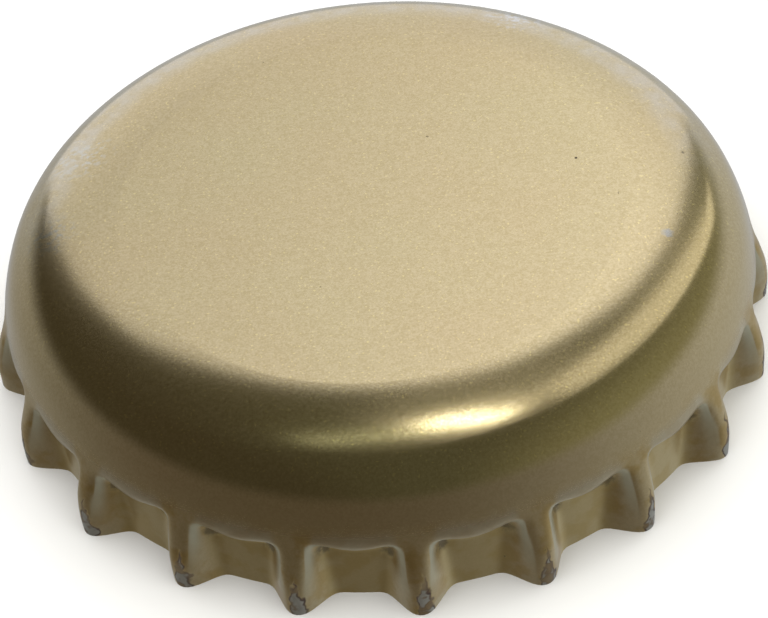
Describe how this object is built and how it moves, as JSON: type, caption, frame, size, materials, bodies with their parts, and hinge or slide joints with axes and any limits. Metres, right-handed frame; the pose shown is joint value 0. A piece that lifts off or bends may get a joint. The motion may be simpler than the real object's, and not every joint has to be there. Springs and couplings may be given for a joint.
{
  "type": "bottle cap",
  "caption": "Bottle cap of the crown type: a gold-lacquered tinplate shell with a fluted skirt, crimped and taken off again, and a moulded sealing liner.",
  "frame": {"origin": "centre of the plane that the flute tips stand on", "axes": "+Z along the cap's axis towards the top panel; a flute tip lies on -Y"},
  "size_m": [0.0286, 0.0284, 0.006],
  "materials": {
    "gold_lacquered_tinplate": "satin metallic lacquer, scraped to bare metal at the flute tips",
    "liner_compound": "smooth, slightly waxy"
  },
  "bodies": {
    "root": {"crown_shell": "gold_lacquered_tinplate", "sealing_liner": "liner_compound"}
  },
  "joints": []
}
